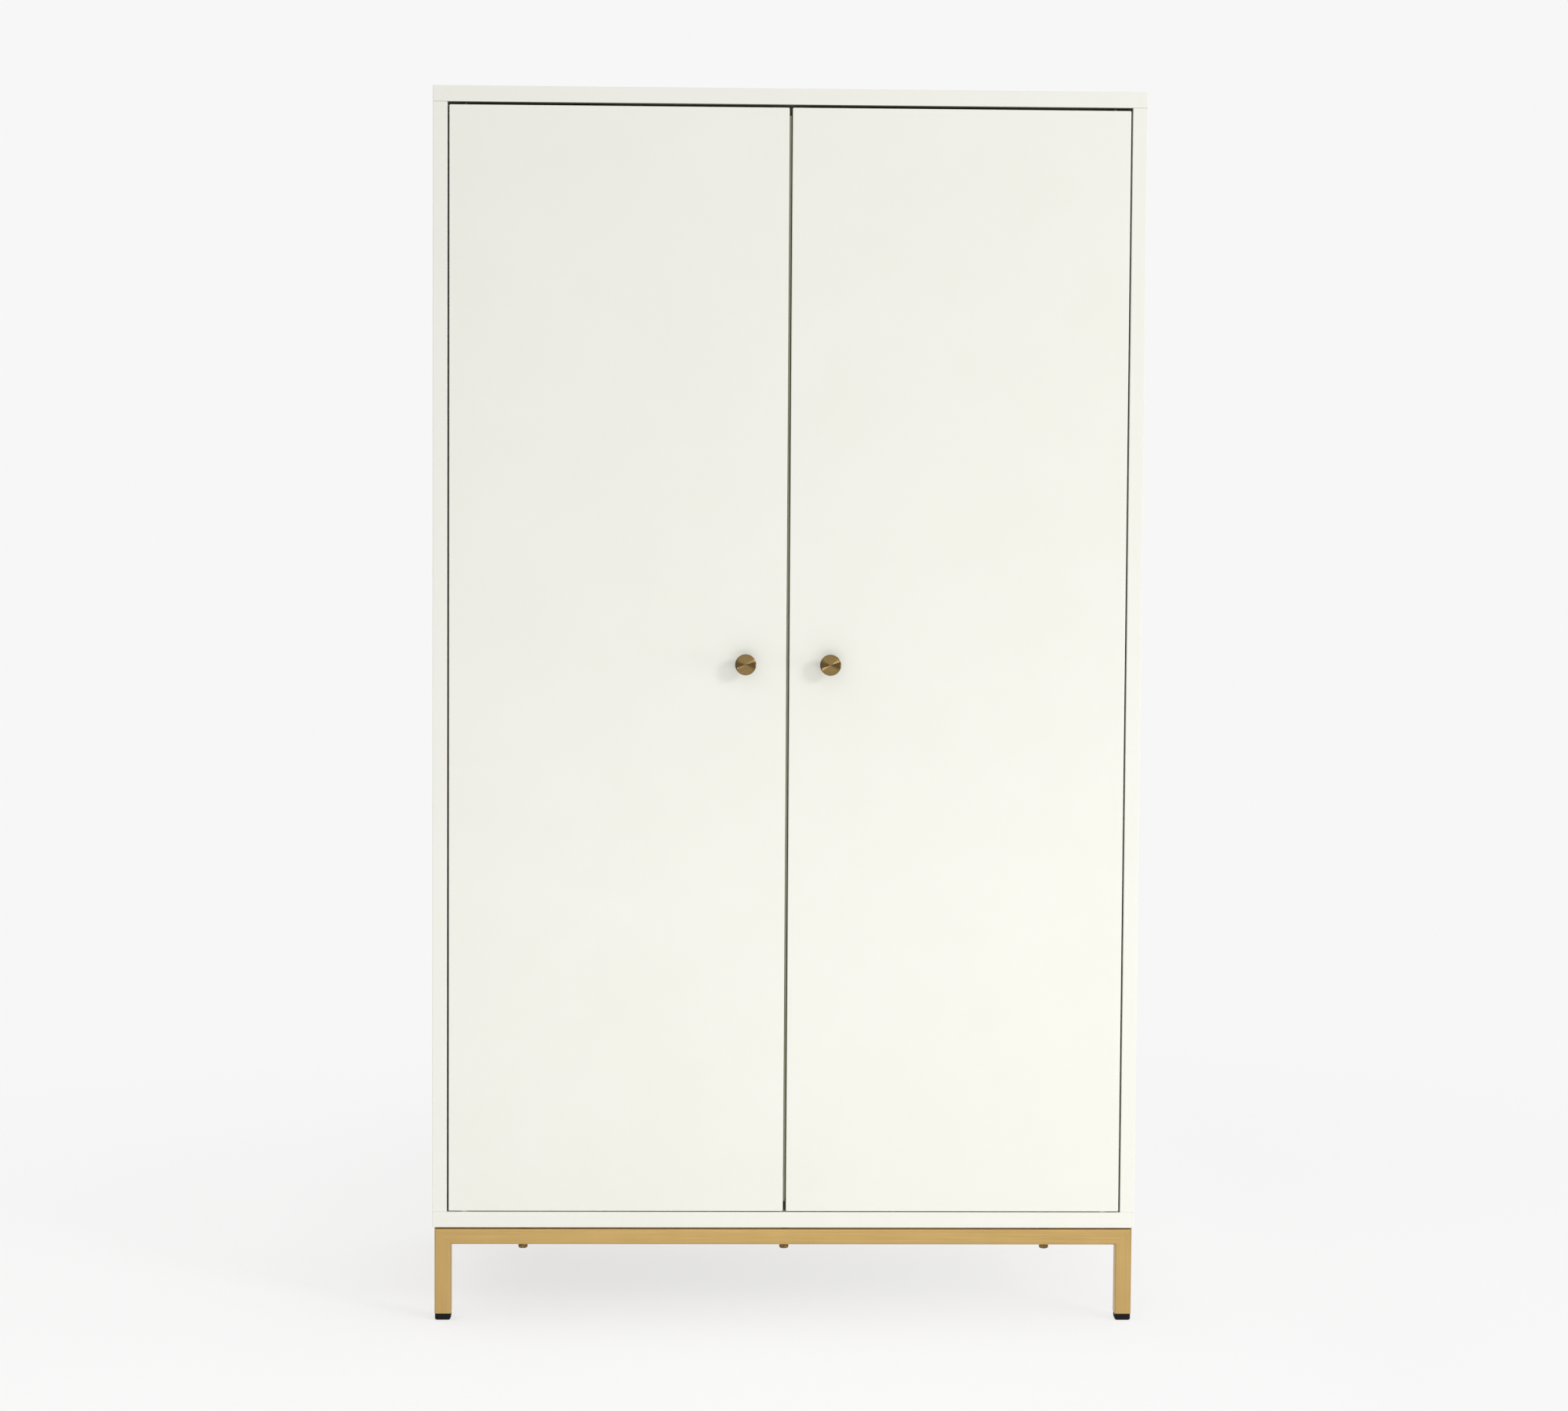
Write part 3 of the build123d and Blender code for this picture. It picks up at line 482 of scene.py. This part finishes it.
def spun(name, profile, centre, segments):
    """Spin a profile of radius and reach about the Y axis through a centre, reaching forward."""
    shell = bmesh.new()
    rows = []
    for radius, reach in profile:
        count = 1 if radius < 1e-6 else segments
        row = []
        for number in range(count):
            angle = math.tau * number / segments
            offset = Vector((radius * math.cos(angle), -reach, radius * math.sin(angle)))
            row.append(shell.verts.new(Vector(centre) + offset))
        rows.append(row)
    for lower, upper in zip(rows, rows[1:]):
        for number in range(segments):
            after = (number + 1) % segments
            ring = [lower[number % len(lower)], lower[after % len(lower)], upper[after % len(upper)]]
            ring.append(upper[number % len(upper)])
            corners = list(dict.fromkeys(ring))
            shell.faces.new(corners)
    bmesh.ops.recalc_face_normals(shell, faces=shell.faces)
    for face in shell.faces:
        face.smooth = True
    mesh = bpy.data.meshes.new(name)
    shell.to_mesh(mesh)
    shell.free()
    piece = bpy.data.objects.new(name, mesh)
    scene.collection.objects.link(piece)
    return piece


knob_segments = 128
turned_light, turned_dark, turned_tilt = (0.285, 0.194, 0.082, 1), (0.238, 0.158, 0.063, 1), 0.5
for side in ("left", "right"):
    low, high = (Vector(corner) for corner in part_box(f"knob_{side}"))
    centre = ((low.x + high.x) / 2, high.y, (low.z + high.z) / 2)
    knob = spun(f"turned_knob_{side}", knob_profile, centre, knob_segments)
    finish = turned_brass(f"brass_turned_{side}", centre, turned_light, turned_dark, turned_tilt)
    knob.data.materials.append(finish)
    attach(knob, f"door_{side}")
    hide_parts(f"knob_{side}")
    print(knob.name, "faces:", len(knob.data.polygons), "at", [round(value, 4) for value in centre])

# %% [markdown]
# ## Screws
# Cross-head screws hold the back, the plates, the catches and the strip. They differ only in size, place
# and direction, so one Geometry Nodes tree makes them all: it builds one screw from cylinders and cones,
# cuts a cross in its head, sets it on every point it is given and turns it along the direction stored
# there.


# %% Screw tree
head_sunk = 0.0001


def screw_tree():
    tree = bpy.data.node_groups.new("cross_head_screws", "GeometryNodeTree")
    sockets = {}
    for label, kind in (
        ("Places", "Geometry"),
        ("Head Size", "Float"),
        ("Shank Size", "Float"),
        ("Length", "Float"),
        ("Material", "Material"),
    ):
        made = tree.interface.new_socket(label, in_out="INPUT", socket_type=f"NodeSocket{kind}")
        sockets[label] = made.identifier
    tree.interface.new_socket("Screws", in_out="OUTPUT", socket_type="NodeSocketGeometry")
    graph = Graph(tree)
    given = tree.nodes.new("NodeGroupInput")
    value = {label: Value(tree, given.outputs[label]) for label in sockets}
    head_r, shank_r, length = value["Head Size"] * 0.5, value["Shank Size"] * 0.5, value["Length"]
    brim = 0.0004
    cone = head_r - shank_r

    def drum(radius_top, radius_bottom, depth, bottom):
        """A cone or cylinder standing with its lower end at a height."""
        shape = {"Vertices": 28, "Radius Top": radius_top, "Radius Bottom": radius_bottom, "Depth": depth}
        mesh = graph.node("GeometryNodeMeshCone", None, shape)
        lift = graph.vector(0.0, 0.0, bottom)
        return graph.node("GeometryNodeTransform", None, {"Geometry": mesh, "Translation": lift})

    cone_low = cone * -1.0 - (brim + head_sunk)
    tip_low = length * -1.0
    pieces = [
        drum(head_r, head_r, brim, -brim - head_sunk),
        drum(head_r, shank_r, cone, cone_low),
        drum(shank_r, shank_r, cone_low - tip_low - shank_r, tip_low + shank_r),
        drum(shank_r, shank_r * 0.1, shank_r, tip_low),
    ]
    stacked = graph.node("GeometryNodeMeshBoolean", {"operation": "UNION"}, {"Mesh 2": pieces}, "Mesh")
    arm, blade, deep = head_r * 1.25, head_r * 0.26, head_r * 0.9
    slots = [
        graph.node("GeometryNodeMeshCube", None, {"Size": graph.vector(arm, blade, deep)}),
        graph.node("GeometryNodeMeshCube", None, {"Size": graph.vector(blade, arm, deep)}),
    ]
    screw = graph.node(
        "GeometryNodeMeshBoolean", {"operation": "DIFFERENCE"}, {"Mesh 1": stacked, "Mesh 2": slots}, "Mesh"
    )
    way = graph.node(
        "GeometryNodeInputNamedAttribute", {"data_type": "FLOAT_VECTOR"}, {"Name": "out"}, "Attribute"
    )
    turn = graph.node("FunctionNodeAlignRotationToVector", {"axis": "Z"}, {"Vector": way})
    set_out = {"Points": value["Places"], "Instance": screw, "Rotation": turn}
    placed = graph.node("GeometryNodeInstanceOnPoints", None, set_out)
    real = graph.node("GeometryNodeRealizeInstances", None, {"Geometry": placed})
    coated = graph.node("GeometryNodeSetMaterial", None, {"Geometry": real, "Material": value["Material"]})
    graph.node("NodeGroupOutput", None, {"Screws": coated})
    return tree, sockets


screws, screw_sockets = screw_tree()
print("screw tree nodes:", len(screws.nodes), "inputs:", list(screw_sockets))

# %% [markdown]
# The places come from the construction model itself: every screw there is its own closed shell, so the
# loose triangles of a node are merged and parted into shells, and the widest end of each shell is its
# head. That way the fine screw sits exactly where the plain one does.


# %% Screw places
def shells_of(name):
    """The separate closed shells of a node, each as a list of points."""
    merged = bmesh.new()
    merged.from_mesh(nodes[name].data)
    bmesh.ops.remove_doubles(merged, verts=merged.verts, dist=1e-6)
    left, shells = set(merged.verts), []
    while left:
        shell, edge = [], [left.pop()]
        while edge:
            point = edge.pop()
            shell.append(point.co.copy())
            for link in point.link_edges:
                other = link.other_vert(point)
                if other in left:
                    left.remove(other)
                    edge.append(other)
        shells.append(shell)
    merged.free()
    return shells


def head_and_way(shell):
    """Where the middle of a screw's head lies, and the direction it faces."""
    end_depth = 0.0003
    low = Vector([min(point[axis] for point in shell) for axis in range(3)])
    high = Vector([max(point[axis] for point in shell) for axis in range(3)])
    size = high - low
    axis = max(range(3), key=lambda number: size[number])
    middle = (low + high) / 2

    def width_at(end):
        near = [point for point in shell if abs(point[axis] - end[axis]) < end_depth]
        return max((point - middle).length_squared - (point[axis] - middle[axis]) ** 2 for point in near)

    up = 1 if width_at(high) > width_at(low) else -1
    way = Vector([up if number == axis else 0 for number in range(3)])
    head = middle + way * (size[axis] / 2)
    return head, way


def set_screws(name, head_size, shank_size, length, body):
    """Stand fine screws in the places of a plain node and let them replace it."""
    ends = [head_and_way(shell) for shell in shells_of(name)]
    mesh = bpy.data.meshes.new(f"{name}_fine")
    mesh.from_pydata([head + way * head_sunk for head, way in ends], [], [])
    stored = mesh.attributes.new("out", "FLOAT_VECTOR", "POINT")
    for number, (_, way) in enumerate(ends):
        stored.data[number].vector = way
    piece = bpy.data.objects.new(f"{name}_fine", mesh)
    scene.collection.objects.link(piece)
    maker = piece.modifiers.new("screws", "NODES")
    maker.node_group = screws
    sizes = {"Head Size": head_size, "Shank Size": shank_size, "Length": length, "Material": zinc}
    for label, item in sizes.items():
        maker[screw_sockets[label]] = item
    shaped = piece.evaluated_get(bpy.context.evaluated_depsgraph_get())
    piece.data = bpy.data.meshes.new_from_object(shaped)
    piece.modifiers.clear()
    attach(piece, body)
    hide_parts(name)
    print(piece.name, "screws:", len(ends), "faces:", len(piece.data.polygons))


# Head, shank and length of each kind of screw, in metres
screw_sizes = {
    "back_panel": (0.007, 0.0035, 0.016),
    "gap_strip": (0.007, 0.0035, 0.02),
    "catch": (0.0056, 0.003, 0.024),
    "strike": (0.0054, 0.003, 0.012),
    "rod_socket": (0.007, 0.0035, 0.017),
    "pivot_case": (0.0066, 0.0035, 0.018),
    "pivot_door": (0.0066, 0.0035, 0.018),
    "knob": (0.008, 0.004, 0.03),
}
for body, members in frame["record"]["behaviour"]["bodies"].items():
    for name in members:
        holder = name.split("_screw")[0]
        if holder != name:
            set_screws(name, *screw_sizes[holder], body)

# %% [markdown]
# ## Camera
# The photograph was taken from a little left of the middle and a little above the knobs, looking slightly
# down, so the uprights lean by only a fraction of a degree. From there the front rail just hides the back
# feet. The picture is framed by turning the camera alone, so the lens needs no shift.

# %% Camera
pixels_wide, sensor = 2000.0, 36.0
focal_px = 3769.7
camera_data = bpy.data.cameras.new("camera")
camera_data.sensor_width = sensor
camera_data.lens = focal_px * sensor / pixels_wide
camera_data.clip_end = 100.0
camera = bpy.data.objects.new("camera", camera_data)
scene.collection.objects.link(camera)
camera.location = (-0.1129, -4.767, 1.1734)
yaw, pitch, roll = -0.0239, -0.0497, -0.0064
turns = [Euler((0, 0, yaw)), Euler((math.pi / 2 + pitch, 0, 0)), Euler((0, 0, -roll))]
camera.rotation_euler = (turns[0].to_matrix() @ turns[1].to_matrix() @ turns[2].to_matrix()).to_euler()
scene.camera = camera
print("camera lens", round(camera_data.lens, 2), "mm")

# %% [markdown]
# ## Studio
# The picture has a plain pale floor that runs into a white background with no line between them. The
# floor is a disc that fades out into the background. To the camera it is mostly its own pale colour, so
# the shadow under the case stays as light as in a brightly lit studio, while the light that bounces off
# it is that of plain white paper. The share of lit paper falls towards the right, where the light comes
# from, and the shadow thins out there. Its own colour falls a little the same way, so that the open floor
# looks even.


# %% Floor
floor_radius, fade_start, fade_end = 2.7, 1.3, 2.6
shadow_span, paper_span = (-0.4, 0.7), (-0.9, 0.9)


def floor_finish(pale, share):
    """White paper: its own pale colour and the share that takes light, each at the left and the right."""
    finish = Finish("studio_floor")
    part = finish.parts(finish.point)
    reach = (part[0] * part[0] + part[1] * part[1]).math("SQRT")
    fade = finish.ramp(reach, fade_start, fade_end)
    seen = finish.node("ShaderNodeLightPath", output="Is Camera Ray")
    mirrored = finish.node("ShaderNodeLightPath", output="Is Glossy Ray")
    direct = seen.math("MAXIMUM", mirrored) * (1.0 - finish.ramp(part[0], *shadow_span, *share))
    paper = finish.node("ShaderNodeBsdfDiffuse", None, {"Color": (0.9, 0.9, 0.9, 1)})
    own_colour = finish.ramp(part[0], *paper_span, *pale)
    glow = finish.node("ShaderNodeEmission", None, {"Color": own_colour})
    lit = finish.node("ShaderNodeMixShader", None, {0: direct, 1: paper, 2: glow})
    clear = finish.node("ShaderNodeBsdfTransparent")
    mixed = finish.node("ShaderNodeMixShader", None, {0: fade, 1: lit, 2: clear})
    finish.node("ShaderNodeOutputMaterial", None, {"Surface": mixed})
    return finish.material


background_level = 0.93
mesh = bpy.data.meshes.new("floor")
disc = bmesh.new()
bmesh.ops.create_circle(disc, cap_ends=True, segments=64, radius=floor_radius)
disc.to_mesh(mesh)
disc.free()
floor = bpy.data.objects.new("floor", mesh)
scene.collection.objects.link(floor)
mesh.materials.append(floor_finish((1.09, 0.955), (0.41, 0.2)))
print("floor radius", floor_radius, "m")

# %% [markdown]
# The world gives an even fill from nearly everywhere. Only low down at the back and at the left it is
# darker, because the lamps stand at the front and the right. That keeps the floor under the case in
# shadow. Polished metal needs something to mirror, so for reflections the two sides are dark, as they are
# when black cards stand beside the camera.

# %% World
fill, low_dip, card_dip = 0.75, 0.5, 0.42
world = bpy.data.worlds.new("studio")
scene.world = world
world.use_nodes = True
sky = Graph(world.node_tree)
way = sky.parts(sky.node("ShaderNodeTexCoord", output="Generated"))
aside, rise = way[0].math("ABSOLUTE"), way[2].math("ABSOLUTE")
card = sky.ramp(aside, 0.08, 0.3) * (1.0 - sky.ramp(rise / (aside + 0.001), 0.5, 0.9))
mirrored = sky.node("ShaderNodeLightPath", output="Is Glossy Ray")
seen = sky.node("ShaderNodeLightPath", output="Is Camera Ray")
low = 1.0 - sky.ramp(way[2], 0.08, 0.4)
away = sky.ramp(way[1] - way[0], -0.1, 0.5)
fill_level = fill - low * away * low_dip - mirrored * card * card_dip
level = seen * background_level + (1.0 - seen) * fill_level
light = sky.node("ShaderNodeBackground", None, {"Color": (1, 1, 1, 1), "Strength": level})
sky.node("ShaderNodeOutputWorld", None, {"Surface": light})
print("studio background ready")

# %% [markdown]
# Three soft lamps light the object. A broad key light stands high at the right and gives the soft shadows
# that fall to the left of the knobs. A long low lamp in front lightens the base and the floor before it,
# and a small one at the right lets light in under that end of the case.


# %% Lights
def soft_light(name, location, target, width, height, watts):
    data = bpy.data.lights.new(name, "AREA")
    data.shape = "RECTANGLE"
    data.size, data.size_y, data.energy = width, height, watts
    light = bpy.data.objects.new(name, data)
    scene.collection.objects.link(light)
    light.location = location
    light.rotation_euler = (Vector(target) - Vector(location)).to_track_quat("-Z", "Y").to_euler()
    return light


soft_light("key", (4.4, -4.1, 2.95), (0, -0.2, 0.9), 1.5, 1.2, 82.0)
soft_light("low_front", (0.2, -2.6, 0.3), (0, -0.27, 0.35), 2.4, 0.5, 7.5)
soft_light("low_right", (3.0, -1.2, 0.7), (0.2, 0, 0.05), 0.8, 0.8, 12.0)

# %% [markdown]
# ## Finish
# The colours are shown through the plain Standard view transform.

# %% Finish
scene.view_settings.view_transform = "Standard"
